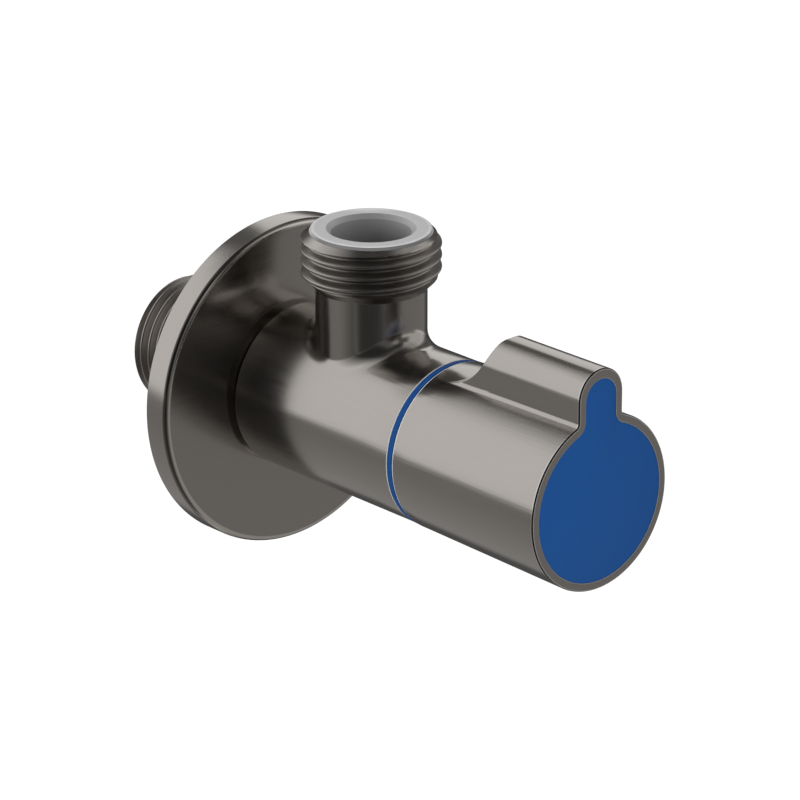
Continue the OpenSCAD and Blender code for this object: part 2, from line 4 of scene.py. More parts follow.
import bmesh
import bpy
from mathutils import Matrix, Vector

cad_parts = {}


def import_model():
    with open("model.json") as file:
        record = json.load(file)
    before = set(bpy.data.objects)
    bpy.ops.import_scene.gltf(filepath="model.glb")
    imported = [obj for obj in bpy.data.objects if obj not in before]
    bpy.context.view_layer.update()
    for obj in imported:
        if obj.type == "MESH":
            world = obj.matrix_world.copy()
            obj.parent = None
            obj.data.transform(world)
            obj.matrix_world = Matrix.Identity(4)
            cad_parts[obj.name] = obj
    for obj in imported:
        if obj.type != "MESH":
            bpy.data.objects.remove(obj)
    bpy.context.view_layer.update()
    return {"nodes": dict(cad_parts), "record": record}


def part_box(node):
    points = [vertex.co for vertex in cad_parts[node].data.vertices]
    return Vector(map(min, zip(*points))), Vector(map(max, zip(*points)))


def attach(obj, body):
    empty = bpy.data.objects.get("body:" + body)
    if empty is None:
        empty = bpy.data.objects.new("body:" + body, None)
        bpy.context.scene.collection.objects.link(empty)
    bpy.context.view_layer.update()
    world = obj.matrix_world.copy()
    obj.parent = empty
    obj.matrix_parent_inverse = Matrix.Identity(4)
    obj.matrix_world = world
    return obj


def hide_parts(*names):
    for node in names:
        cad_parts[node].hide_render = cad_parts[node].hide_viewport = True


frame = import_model()

MM = 0.001
TURN = 2 * math.pi
TINY = 1e-6
LOW, HIGH = 0, 1
X, Y, Z = 0, 1, 2


def reach(node, side, axis):
    """How far a node of the frame reaches along an axis, in millimetres."""
    return round(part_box(node)[side][axis] / MM, 3)


# Sizes in millimetres, as in the solids. d is the distance in front of the wall.

# Pipe thread
PITCH = 1.814
CREST_R = 10.4775
ROOT_R = 9.3155
THREAD_ROUND = 0.249
FLANK = math.radians(27.5)
THREAD_EASE = 0.07

# Wall disc
DISC_R = reach("wall_disc", HIGH, X)
DISC_FRONT = -reach("wall_disc", LOW, Y)
DISC_EDGE = 0.9
DISC_WALL = 1.3
DISC_BORE_R = 10.83
HUB_R = 13.7
GROOVE_R = 12.38
GROOVE_BACK = 1.275
GROOVE_FRONT = 3.175

# Inlet shank
INLET_END = -reach("valve_body", HIGH, Y)
INLET_BORE_R = 7.0
INLET_LEAD = 1.3
SHANK_R = 9.6
THREAD_STOP = 3.6
RUN_OUT_SLOPE = 0.5

# Barrel
BARREL_R = reach("valve_body", HIGH, X)
BARREL_BACK = 4.55
BACK_CHAMFER = 0.9
BARREL_FRONT = -reach("marking_ring", HIGH, Y)
SPIGOT_R = 10.85
SPIGOT_FRONT = -reach("valve_body", LOW, Y)
GASKET_R = 10.25
GASKET_T = 1.2
CAGE_THREAD_R = 9.35
CAGE_THREAD_BACK = 30.55
CHAMBER_R = 10.0
SEAT_FRONT = 13.0
SEAT_BACK = 11.0
ORIFICE_R = 5.6

# Neck and outlet
OUTLET_D = 21.95
OUTLET_TOP = reach("valve_body", HIGH, Z)
OUTLET_RIM_R = ROOT_R - 0.1
NECK_R = 8.35
FILLET_R = 3.0
RUN_OUT_Z = 19.86
RUN_OUT_PLAIN = 0.3
LEAD_IN_SLOPE = 1.31
LINER_SEAT_R = 7.05
LINER_SEAT_Z = 20.65
BORE_R = 6.0

# Outlet liner
LINER_R = 7.0
LINER_FOOT = reach("outlet_liner", LOW, Z)
LINER_TOP = reach("outlet_liner", HIGH, Z)
LINER_FLANGE_R = 9.2
LINER_DRAFT = 0.15
LINER_BEVEL = 0.74

# Marking ring, a hair smaller than its solid
HAIR = 0.01
RING_R = reach("marking_ring", HIGH, X) - HAIR
RING_BORE_R = 10.9
RING_BACK = BARREL_FRONT + HAIR
RING_FRONT = -reach("marking_ring", LOW, Y) - HAIR

# Handle
HANDLE_BACK = -reach("handle_shell", HIGH, Y)
HANDLE_FRONT = -reach("handle_shell", LOW, Y)
BACK_R = 12.86
BACK_EDGE = 0.22
FACE_R = reach("handle_shell", HIGH, X)
FACE_EDGE = 0.28
RIB_HALF = 4.3
RIB_FOOT = 0.8
RIDGE_TOP = reach("handle_shell", HIGH, Z)
RIDGE_RISE = 0.16
RIDGE_RISE_D = 50
TIP_R = 0.9
TIP_END = 53
SCOOP_R = 10.36
SCOOP_D = HANDLE_BACK + 1.4
SCOOP_FLOOR = 11.87
RIM = 1.3
RIM_TOP = 0.25
RECESS = 1.5
SKIRT_R = 11.3
PLATE_BACK = 63.99
BOSS_R = 6.9
BOSS_BACK = 50.3
SOCKET_HALF = 4.35
SCREW_HOLE_R = 2.25
SCREW_POCKET_R = 3.9
SCREW_POCKET_D = 66.39

# Mesh helpers


def on_valve(r, d, a):
    """A point at radius r and angle a round the valve axis, d in front of the wall."""
    return (r * math.cos(a), -d, r * math.sin(a))


def on_outlet(r, z, a):
    """A point at radius r and angle a round the outlet's axis, at height z."""
    return (r * math.cos(a), r * math.sin(a) - OUTLET_D, z)


def ring_at(r, d, at):
    """A loop round the valve axis, at the list of angles."""
    return [on_valve(r, d, a) for a in at]


def angles(count):
    return [TURN * i / count for i in range(count)]


def skin(loops, wrap=True):
    """Quads between loops of equal length."""
    n = len(loops[0])
    verts = [p for loop in loops for p in loop]
    faces = []
    for i in range(len(loops) - 1):
        for k in range(n if wrap else n - 1):
            a, b = i * n + k, i * n + (k + 1) % n
            faces.append((a, b, b + n, a + n))
    return verts, faces


def lathe(profile, place, at):
    """A surface of revolution: profile is [(r, position)], at the list of angles."""
    return skin([[place(r, d, a) for a in at] for r, d in profile])


def fan(loop, centre):
    """Triangles from a closed loop to a centre point."""
    n = len(loop)
    return loop + [centre], [(i, (i + 1) % n, n) for i in range(n)]


def turns_of(loop):
    """A loop's first point round the valve axis, and how far each point is turned from it."""
    n = len(loop)
    turns = [math.atan2(p[Z], p[X]) for p in loop]
    start = min(range(n), key=lambda i: turns[i] % TURN)
    return start, [(turns[(start + i) % n] - turns[start]) % TURN for i in range(n)] + [TURN]


def zip_loops(loop_a, loop_b):
    """Triangles between two closed loops that both run once round the valve axis."""
    n, m = len(loop_a), len(loop_b)
    start_a, turns_a = turns_of(loop_a)
    start_b, turns_b = turns_of(loop_b)
    faces, i, j = [], 0, 0
    while i < n or j < m:
        a, b = (start_a + i) % n, n + (start_b + j) % m
        if j >= m or (i < n and turns_a[i + 1] <= turns_b[j + 1]):
            faces.append((a, b, (start_a + i + 1) % n))
            i += 1
        else:
            faces.append((a, b, n + (start_b + j + 1) % m))
            j += 1
    return list(loop_a) + list(loop_b), faces


def rounded(points, steps=4):
    """A polyline through [(x, y, radius)], with an arc of that radius in each corner."""
    out = []
    for i, (x, y, r) in enumerate(points):
        if r <= 0 or i in (0, len(points) - 1):
            out.append((x, y))
            continue
        here = Vector((x, y))
        to_a = (Vector(points[i - 1][:2]) - here).normalized()
        to_b = (Vector(points[i + 1][:2]) - here).normalized()
        half = math.acos(max(-1, min(1, to_a.dot(to_b)))) / 2
        tangent = r / math.tan(half)
        centre = here + (to_a + to_b).normalized() * (r / math.sin(half))
        start = here + to_a * tangent - centre
        end = here + to_b * tangent - centre
        sweep = math.pi - 2 * half
        for k in range(steps + 1):
            t = k / steps
            v = (start * math.sin((1 - t) * sweep) + end * math.sin(t * sweep)) / math.sin(sweep)
            out.append(tuple(centre + v))
    return out


# Merging distance and shortest edge, in metres
MERGE = 2e-6
SHORTEST = 1e-7
SHARP_ANGLE = math.radians(32)


def piece(name, parts, body, material, node):
    """Joins the parts into one smooth-shaded mesh that rides on a body and stands for a node."""
    bm = bmesh.new()
    for verts, faces in parts:
        made = [bm.verts.new([c * MM for c in p]) for p in verts]
        for f in faces:
            if len(set(f)) == len(f):
                bm.faces.new([made[i] for i in f])
    bmesh.ops.remove_doubles(bm, verts=bm.verts, dist=MERGE)
    bmesh.ops.dissolve_degenerate(bm, dist=SHORTEST, edges=bm.edges)
    bmesh.ops.recalc_face_normals(bm, faces=bm.faces)
    open_edges = sum(1 for e in bm.edges if not e.is_manifold)
    print(f"{name}: {len(bm.faces)} faces, {open_edges} open edges")
    mesh = bpy.data.meshes.new(name)
    bm.to_mesh(mesh)
    bm.free()
    mesh.shade_smooth()
    mesh.set_sharp_from_angle(angle=SHARP_ANGLE)
    mesh.materials.append(material)
    obj = bpy.data.objects.new(name, mesh)
    bpy.context.scene.collection.objects.link(obj)
    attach(obj, body)
    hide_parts(node)


# Threads


def thread_radius(s):
    """Radius of the rounded pipe thread at the distance s from a crest's centre."""
    half = PITCH / 2
    s = abs((s + half) % PITCH - half)
    edge = THREAD_ROUND * math.cos(FLANK)
    drop = THREAD_ROUND - math.sqrt(THREAD_ROUND**2 - edge**2)
    if s <= edge:
        return CREST_R - THREAD_ROUND + math.sqrt(THREAD_ROUND**2 - s**2)
    if half - s <= edge:
        return ROOT_R + THREAD_ROUND - math.sqrt(THREAD_ROUND**2 - (half - s) ** 2)
    return CREST_R - drop - (s - edge) / math.tan(FLANK)


def soft_min(a, b, k):
    """The smaller of two numbers, with a rounded change-over of the size k."""
    h = max(k - abs(a - b), 0) / k
    return min(a, b) - h * h * k / 4


def thread_levels(low, high, arc_steps):
    """Positions along one helix line, dense on crests and roots, from a pitch below low to high."""
    half = PITCH / 2
    edge = THREAD_ROUND * math.cos(FLANK)
    arc = [edge * i / arc_steps for i in range(arc_steps + 1)]
    root = [s - half for s in arc]
    crest = [-s for s in reversed(arc[1:])] + arc
    root_end = [half - s for s in reversed(arc[1:])]
    cell = root + [-half / 2] + crest + [half / 2] + root_end
    turns = math.ceil((high - low) / PITCH) + 2
    return [low - PITCH + half + m * PITCH + s for m in range(turns) for s in cell]


def threaded(place, low, high, cap, around, arc_steps, floor=lambda position: 0.0):
    """A right-hand thread between two positions, held between floor(position) and cap(position)."""
    loops = []
    for s in thread_levels(low, high, arc_steps):
        loop = []
        for i in range(around + 1):
            lift = PITCH * i / around
            position = min(high, max(low, s + lift))
            r = soft_min(thread_radius(position - lift - low), cap(position), THREAD_EASE)
            loop.append(place(max(floor(position), r), position, TURN * i / around))
        loops.append(loop)
    return skin(loops, wrap=False)


def inlet_thread():
    """The shank's thread, with a lead-in at its end and a run-out near the wall disc."""
    def cap(d):
        return min(CREST_R - INLET_LEAD + d - INLET_END, SHANK_R + THREAD_STOP - d)

    def floor(d):
        return SHANK_R - RUN_OUT_SLOPE * (THREAD_STOP - d)

    return threaded(on_valve, INLET_END, THREAD_STOP, cap, INLET_AROUND, arc_steps=2, floor=floor)


def outlet_thread():
    """The outlet's thread, with a run-out on the neck and a lead-in below the rim."""
    def cap(z):
        lead_in = OUTLET_RIM_R + LEAD_IN_SLOPE * (OUTLET_TOP - z)
        return min(lead_in, NECK_R + max(0, z - RUN_OUT_Z - RUN_OUT_PLAIN))

    return threaded(on_outlet, RUN_OUT_Z, OUTLET_TOP, cap, AROUND, arc_steps=4)


# Valve body

AROUND = 192
INLET_AROUND = 128
UNDER_COLUMNS = 96

# Half sizes of the rectangles round the neck, outside and in the chamber. The outer one's first
# corner lies WINDOW_CORNER of the AROUND steps from the X direction.
WINDOW_HALF = 11.0
WINDOW_CORNER = 26
INNER_WINDOW_HALF = 8.5

# Where the inlet's steps round the axis change over to those of the barrel
SHOULDER_SEAM_R = BARREL_R - 2
BORE_SEAM_D = -20


def fillet_centre(a):
    """Centre of the ball that rolls between neck and barrel."""
    from_axis = NECK_R + FILLET_R
    x = from_axis * math.cos(a)
    return Vector((x, from_axis * math.sin(a) - OUTLET_D, math.sqrt((BARREL_R + FILLET_R) ** 2 - x * x)))


def fillet_loops(at, steps=14):
    """Loops of the rolling-ball fillet, from the barrel up to the neck."""
    loops = []
    for i in range(steps + 1):
        t = 1 - i / steps
        loop = []
        for a in at:
            c = fillet_centre(a)
            to_neck = Vector((-math.cos(a), -math.sin(a), 0))
            to_barrel = -Vector((c[X], 0, c[Z])) / (BARREL_R + FILLET_R)
            w = to_neck.angle(to_barrel)
            v = (to_neck * math.sin((1 - t) * w) + to_barrel * math.sin(t * w)) / math.sin(w)
            loop.append(tuple(c + v * FILLET_R))
        loops.append(loop)
    return loops


def neck_loops(at, rows=6):
    """Plain neck between the fillet's upper edge and the thread's run-out."""
    loops = []
    for i in range(rows + 1):
        t = i / rows
        loops.append([on_outlet(NECK_R, fillet_centre(a)[Z] * (1 - t) + RUN_OUT_Z * t, a) for a in at])
    return loops


def outlet_inside_loops(at):
    """Rim, the liner's seat and the bore down to the chamber."""
    profile = [
        (OUTLET_RIM_R, OUTLET_TOP), (LINER_SEAT_R, OUTLET_TOP),
        (LINER_SEAT_R, LINER_SEAT_Z), (BORE_R, LINER_SEAT_Z)]
    loops = [[on_outlet(r, z, a) for a in at] for r, z in profile]
    foot = [math.sqrt(CHAMBER_R**2 - (BORE_R * math.cos(a)) ** 2) for a in at]
    return loops + [[on_outlet(BORE_R, z, a) for z, a in zip(foot, at)]]


def window_edge(at, half_x, half_y):
    """Where each direction from the outlet's axis meets a rectangle round it."""
    edge = []
    for a in at:
        c, s = math.cos(a), math.sin(a)
        t = min(half_x / max(abs(c), 1e-9), half_y / max(abs(s), 1e-9))
        edge.append((t * c, t * s))
    return edge


def patch(radius, hole, edge, rows=8):
    """The cylinder between a hole and the rectangle's edge; both are lists of plan points."""
    loops = []
    for i in range(rows + 1):
        t = i / rows
        loop = []
        for (hx, hy), (ex, ey) in zip(hole, edge):
            x, y = hx + (ex - hx) * t, hy + (ey - hy) * t
            loop.append((x, y - OUTLET_D, math.sqrt(radius**2 - x * x)))
        loops.append(loop)
    return skin(loops)


def cylinder_with_window(radius, hole, edge, columns, half_y):
    """A band of cylinder as long as the rectangle, with the hole's patch set in."""
    half_x = max(x for x, y in edge)
    side = sorted({round(y, 6) for x, y in edge if abs(x - half_x) < TINY})
    start = math.acos(half_x / radius)
    stop = math.pi - start
    around = [a for a in columns if a >= stop - TINY] + [a + TURN for a in columns if a <= start + TINY]
    rows = [-half_y] + [y for y in side if abs(y) < half_y - TINY] + [half_y]
    band_loops = [ring_at(radius, OUTLET_D - y, around) for y in rows]
    return [skin(band_loops, wrap=False), patch(radius, hole, edge)]


def body_columns(edge, half_y):
    """Angles round the barrel that meet the rectangle's corners and edge points."""
    top = sorted(math.acos(x / BARREL_R) for x, y in edge if y > half_y - TINY)
    start = math.acos(WINDOW_HALF / BARREL_R)
    first, span = math.pi - start, math.pi + 2 * start
    return top + [first + span * i / UNDER_COLUMNS for i in range(1, UNDER_COLUMNS)]


def barrel_profiles(half_y):
    """The barrel's outlines behind and in front of the rectangle, and the bore behind the chamber."""
    back = rounded([
        (SHOULDER_SEAM_R, BARREL_BACK, 0), (BARREL_R - BACK_CHAMFER, BARREL_BACK, 0.05),
        (BARREL_R, BARREL_BACK + BACK_CHAMFER, 0.2), (BARREL_R, OUTLET_D - half_y, 0)])
    pocket = SPIGOT_FRONT - GASKET_T
    front = rounded([
        (BARREL_R, OUTLET_D + half_y, 0), (BARREL_R, BARREL_FRONT, 0.2), (SPIGOT_R, BARREL_FRONT, 0.05),
        (SPIGOT_R, SPIGOT_FRONT, 0.15), (GASKET_R, SPIGOT_FRONT, 0), (GASKET_R, pocket, 0),
        (CAGE_THREAD_R, pocket, 0), (CAGE_THREAD_R, CAGE_THREAD_BACK, 0),
        (CHAMBER_R, CAGE_THREAD_BACK, 0), (CHAMBER_R, OUTLET_D + INNER_WINDOW_HALF, 0)])
    inside = [
        (CHAMBER_R, OUTLET_D - INNER_WINDOW_HALF), (CHAMBER_R, SEAT_FRONT), (ORIFICE_R, SEAT_FRONT),
        (ORIFICE_R, SEAT_BACK), (INLET_BORE_R, SEAT_BACK), (INLET_BORE_R, BORE_SEAM_D)]
    return back, front, inside


def inlet_parts(columns):
    """The inlet shank, its mouth, and the joins to the barrel's steps round the axis."""
    at = angles(INLET_AROUND)
    mouth = rounded([
        (INLET_BORE_R, BORE_SEAM_D, 0), (INLET_BORE_R, INLET_END, 0.35),
        (CREST_R - INLET_LEAD, INLET_END, 0)])
    return [
        inlet_thread(),
        lathe([(SHANK_R, THREAD_STOP), (SHANK_R, BARREL_BACK)], on_valve, at),
        zip_loops(ring_at(SHANK_R, BARREL_BACK, at), ring_at(SHOULDER_SEAM_R, BARREL_BACK, columns)),
        lathe(mouth, on_valve, at),
        zip_loops(ring_at(INLET_BORE_R, BORE_SEAM_D, at), ring_at(INLET_BORE_R, BORE_SEAM_D, columns)),
    ]


def valve_body(material):
    at = angles(AROUND)
    half_y = WINDOW_HALF * math.tan(WINDOW_CORNER * TURN / AROUND)
    edge = window_edge(at, WINDOW_HALF, half_y)
    columns = body_columns(edge, half_y)
    foot_y = NECK_R + FILLET_R
    foot_x = BARREL_R / (BARREL_R + FILLET_R) * foot_y
    hole = [(foot_x * math.cos(a), foot_y * math.sin(a)) for a in at]
    inner_scale = CHAMBER_R / BARREL_R
    inner_edge = [(x * inner_scale, y * INNER_WINDOW_HALF / half_y) for x, y in edge]
    inner_hole = [(BORE_R * math.cos(a), BORE_R * math.sin(a)) for a in at]
    parts = inlet_parts(columns)
    parts += [lathe(profile, on_valve, columns) for profile in barrel_profiles(half_y)]
    parts += [skin(fillet_loops(at)), skin(neck_loops(at)), outlet_thread(), skin(outlet_inside_loops(at))]
    parts += cylinder_with_window(BARREL_R, hole, edge, columns, half_y)
    parts += cylinder_with_window(CHAMBER_R, inner_hole, inner_edge, columns, INNER_WINDOW_HALF)
    piece("valve_body_turned", parts, "valve", material, "valve_body")


# Turned pieces. Each closed profile starts and ends at a seam on a straight stretch.


def wall_disc(material):
    """Hollow escutcheon, with a hub whose groove holds the grip ring."""
    broken, inner_round = 0.1, 0.5
    inner_r, inner_d = DISC_R - DISC_WALL, DISC_FRONT - DISC_WALL
    seam = (DISC_BORE_R, 0.15, 0)
    profile = rounded([
        seam, (DISC_BORE_R, GROOVE_BACK, 0), (GROOVE_R, GROOVE_BACK, 0), (GROOVE_R, GROOVE_FRONT, 0),
        (DISC_BORE_R, GROOVE_FRONT, 0), (DISC_BORE_R, DISC_FRONT, 0.25), (DISC_R, DISC_FRONT, DISC_EDGE),
        (DISC_R, 0, broken), (inner_r, 0, broken), (inner_r, inner_d, inner_round),
        (HUB_R, inner_d, inner_round), (HUB_R, 0, broken), (DISC_BORE_R, 0, broken), seam], steps=8)
    parts = [lathe(profile, on_valve, angles(256))]
    piece("wall_disc_turned", parts, "disc", material, "wall_disc")


def outlet_liner(material):
    """Flanged liner, with a bevelled mouth and a stem in the outlet's seat."""
    seam = (LINER_R, LINER_FOOT + 1.3, 0)
    profile = rounded([
        seam, (LINER_R, OUTLET_TOP, 0), (LINER_FLANGE_R, OUTLET_TOP, 0.03),
        (LINER_FLANGE_R - LINER_DRAFT, LINER_TOP, 0.42), (BORE_R + LINER_BEVEL, LINER_TOP, 0.05),
        (BORE_R, LINER_TOP - LINER_BEVEL, 0.05), (BORE_R, LINER_FOOT, 0.1),
        (LINER_R, LINER_FOOT, 0.3), seam])
    parts = [lathe(profile, on_outlet, angles(160))]
    piece("outlet_liner_moulded", parts, "valve", material, "outlet_liner")


def marking_ring(material):
    """Ring on the spigot, a little proud of the barrel."""
    outer_round = 0.06
    seam = (RING_BORE_R, RING_BACK + 0.44, 0)
    profile = rounded([
        seam, (RING_BORE_R, RING_BACK, 0), (RING_R, RING_BACK, outer_round),
        (RING_R, RING_FRONT, outer_round), (RING_BORE_R, RING_FRONT, 0), seam])
    parts = [lathe(profile, on_valve, angles(224))]
    piece("marking_ring_moulded", parts, "valve", material, "marking_ring")


# Handle

# Steps along the arm's foot, side and top, and along the flat cut with its rounded edge
FOOT_STEPS = 8
SIDE_STEPS = 5
ARC_STEPS = 14
ROUND_STEPS = 4
STRIP_STEPS = 6
CONE_STEPS = 6
UNDER_STEPS = 60

# Steps and stations along the handle
BACK_STEPS = 4
SCOOP_STEPS = 48
TIP_STEPS = 8
FACE_STEPS = 8
PLAIN_STATIONS = (55, 58, 61, 64, 67)
SCOOP_SOFT = 0.16


def cone_r(d):
    return BACK_R + (FACE_R - BACK_R) * (d - HANDLE_BACK) / (HANDLE_FRONT - HANDLE_BACK)


def ridge_h(d):
    """Height of the rib's ridge: it rises a little towards the face."""
    t = min(1, max(0, (d - RIDGE_RISE_D) / (HANDLE_FRONT - RIDGE_RISE_D)))
    return RIDGE_TOP - RIDGE_RISE + RIDGE_RISE * t


class Keyhole:
    """Outline of the handle's section: a circle with a filleted, round-topped arm."""

    def __init__(self, r, half, top, foot):
        self.r, self.half, self.top, self.foot = r, half, top, foot
        self.foot_y = math.sqrt((r + foot) ** 2 - (half + foot) ** 2)
        self.turn = math.atan2(self.foot_y, half + foot)
        self.contact = (r * math.cos(self.turn), r * math.sin(self.turn))
        self.lengths = (foot * self.turn, top - half - self.foot_y, half * math.pi / 2)
        self.length = sum(self.lengths)

    def at(self, s):
        """Point of the right half's arm, at the length s from its foot."""
        foot_len, side_len, _ = self.lengths
        if s <= foot_len:
            b = self.turn - s / self.foot
            return (self.half + self.foot - self.foot * math.cos(b), self.foot_y - self.foot * math.sin(b))
        if s <= foot_len + side_len:
            return (self.half, self.foot_y + s - foot_len)
        g = min(math.pi / 2, (s - foot_len - side_len) / self.half)
        return (self.half * math.cos(g), self.top - self.half + self.half * math.sin(g))

    def length_at(self, h):
        """Length from the foot at which the arm reaches the height h."""
        foot_len, side_len, _ = self.lengths
        if h <= self.contact[1]:
            return 0
        if h <= self.foot_y:
            return foot_len - self.foot * math.asin((self.foot_y - h) / self.foot)
        if h <= self.top - self.half:
            return foot_len + h - self.foot_y
        return foot_len + side_len + self.half * math.asin(min(1, (h - self.top + self.half) / self.half))

    def shares(self):
        """Shares of the arm's length at which it is sampled, denser on its arcs."""
        foot_len, side_len, arc_len = self.lengths
        marks = [foot_len * i / FOOT_STEPS for i in range(FOOT_STEPS)]
        marks += [foot_len + side_len * i / SIDE_STEPS for i in range(SIDE_STEPS)]
        marks += [foot_len + side_len + arc_len * i / ARC_STEPS for i in range(ARC_STEPS + 1)]
        return [m / self.length for m in marks]


def half_section(key, cut, soft):
    """Right half of a section, from the bottom to the top centre, cut flat at the height cut."""
    under = key.turn + math.pi / 2
    points = []
    for i in range(UNDER_STEPS):
        a = -math.pi / 2 + under * i / UNDER_STEPS
        points.append((key.r * math.cos(a), key.r * math.sin(a)))
    arm = key.length if cut is None else key.length_at(cut)
    edge_x, edge_y = key.at(arm)
    ease = min(soft, arm / 4, edge_x / 4)
    points += [key.at(share * (arm - ease)) for share in key.shares()]
    before = Vector(key.at(arm - ease))
    corner = Vector((edge_x, edge_y))
    after = Vector((edge_x - ease, edge_y))
    for i in range(1, ROUND_STEPS):
        t = i / ROUND_STEPS
        points.append(tuple(before * (1 - t) ** 2 + corner * 2 * t * (1 - t) + after * t * t))
    meet = 0 if edge_y >= key.r else min(after[0], math.sqrt(key.r**2 - edge_y**2))
    for i in range(STRIP_STEPS):
        points.append((after[0] + (meet - after[0]) * i / STRIP_STEPS, edge_y))
    for i in range(CONE_STEPS + 1):
        x = meet * (1 - i / CONE_STEPS)
        points.append((x, edge_y if meet == 0 else max(edge_y, math.sqrt(key.r**2 - x * x))))
    return points


def section(key, d, cut=None, soft=0.0):
    """A closed loop of the handle at the distance d."""
    right = half_section(key, cut, soft)
    left = [(-x, h) for x, h in reversed(right[1:-1])]
    return [(x, -d, h) for x, h in right + left]


def rib_section(d, inset=0.0, cut=None, soft=0.0):
    """The cone with the rib on it at the distance d, its round part drawn in by inset."""
    return section(Keyhole(cone_r(d) - inset, RIB_HALF, ridge_h(d), RIB_FOOT), d, cut, soft)


def face_loop(d, inset, lower=0.0):
    """The face's outline at the distance d, drawn in by inset and lower by lower at the top."""
    key = Keyhole(FACE_R - inset, RIB_HALF - inset, ridge_h(HANDLE_FRONT) - inset - lower, RIB_FOOT + inset)
    return section(key, d)


def scoop_stations():
    """Distances and heights along the thumb scoop and the rounded tip after it."""
    # About where the scoop's floor passes the rib's foot and the top of the cone
    foot_d, crown_d = 43.5, 46.3
    centre_h = SCOOP_FLOOR + SCOOP_R
    top = ridge_h(TIP_END)
    tip_h = top - TIP_R
    tip_d = SCOOP_D + math.sqrt((SCOOP_R + TIP_R) ** 2 - (centre_h - tip_h) ** 2)
    last = math.atan2(tip_d - SCOOP_D, centre_h - tip_h)
    key = Keyhole(cone_r(foot_d), RIB_HALF, top, RIB_FOOT)
    first = math.acos((centre_h - key.contact[1]) / SCOOP_R)
    meet = math.acos((centre_h - cone_r(crown_d)) / SCOOP_R)
    turns = sorted([first + (last - first) * i / SCOOP_STEPS for i in range(SCOOP_STEPS + 1)] + [meet])
    stations = [(SCOOP_D + SCOOP_R * math.sin(t), centre_h - SCOOP_R * math.cos(t)) for t in turns]
    for i in range(1, TIP_STEPS + 1):
        t = last * (1 - i / TIP_STEPS)
        stations.append((tip_d - TIP_R * math.sin(t), tip_h + TIP_R * math.cos(t)))
    return stations


def handle_loops():
    """Outside of the handle, from its back edge over the scoop to the recess in its face."""
    loops = []
    for i in range(BACK_STEPS + 1):
        t = math.pi / 2 * i / BACK_STEPS
        d = HANDLE_BACK + BACK_EDGE * (1 - math.cos(t))
        loops.append(rib_section(d, inset=BACK_EDGE * (1 - math.sin(t)), cut=0))
    loops += [rib_section(d, cut=h, soft=SCOOP_SOFT) for d, h in scoop_stations()]
    loops += [rib_section(d) for d in (*PLAIN_STATIONS, HANDLE_FRONT - FACE_EDGE)]
    for i in range(1, FACE_STEPS + 1):
        t = math.pi / 2 * i / FACE_STEPS
        d = HANDLE_FRONT - FACE_EDGE + FACE_EDGE * math.sin(t)
        loops.append(face_loop(d, FACE_EDGE * (1 - math.cos(t))))
    for sunk, short in ((0, 0.1), (0.02, 0.04), (0.06, 0)):
        inset = RIM - short
        loops.append(face_loop(HANDLE_FRONT - sunk, inset, inset / RIM * RIM_TOP))
    loops.append(face_loop(HANDLE_FRONT - RECESS, RIM, RIM_TOP))
    return loops


def square_r(half, a):
    """Distance to a square's side in the direction a."""
    return half / max(abs(math.cos(a)), abs(math.sin(a)))


def socket_ring(d, at):
    return [on_valve(square_r(SOCKET_HALF, a), d, a) for a in at]


def handle_shell(material):
    """The cast shell: outside, skirt, boss with its square socket, and the screw's pocket."""
    loops = handle_loops()
    at = angles(96)
    recess = ring_at(SCREW_POCKET_R, HANDLE_FRONT - RECESS, at)
    inside = [(SKIRT_R, HANDLE_BACK), (SKIRT_R, PLATE_BACK), (BOSS_R, PLATE_BACK), (BOSS_R, BOSS_BACK)]
    socket = [
        ring_at(BOSS_R, BOSS_BACK, at),
        socket_ring(BOSS_BACK, at),
        socket_ring(PLATE_BACK, at),
        ring_at(SCREW_HOLE_R, PLATE_BACK, at),
        ring_at(SCREW_HOLE_R, SCREW_POCKET_D, at),
        ring_at(SCREW_POCKET_R, SCREW_POCKET_D, at),
        recess,
    ]
    parts = [
        skin(loops),
        zip_loops(loops[0], ring_at(SKIRT_R, HANDLE_BACK, at)),
        zip_loops(loops[-1], recess),
        lathe(inside, on_valve, at),
        skin(socket),
    ]
    piece("handle_shell_cast", parts, "handle", material, "handle_shell")


def handle_insert(material):
    """Blue face in the recess, a little sunk, with a bevelled edge."""
    inset, bevel = RIM + 0.01, 0.02
    back, front = HANDLE_FRONT - RECESS, HANDLE_FRONT - 0.06
    outline = ((back, 0), (front - bevel, 0), (front - bevel / 3, bevel / 3), (front, bevel))
    loops = [face_loop(d, inset + more, RIM_TOP) for d, more in outline]
    parts = [skin(loops), fan(loops[-1], (0.0, -front, 0.0)), fan(loops[0], (0.0, -back, 0.0))]
    piece("handle_insert_moulded", parts, "handle", material, "handle_insert")


# Material nodes


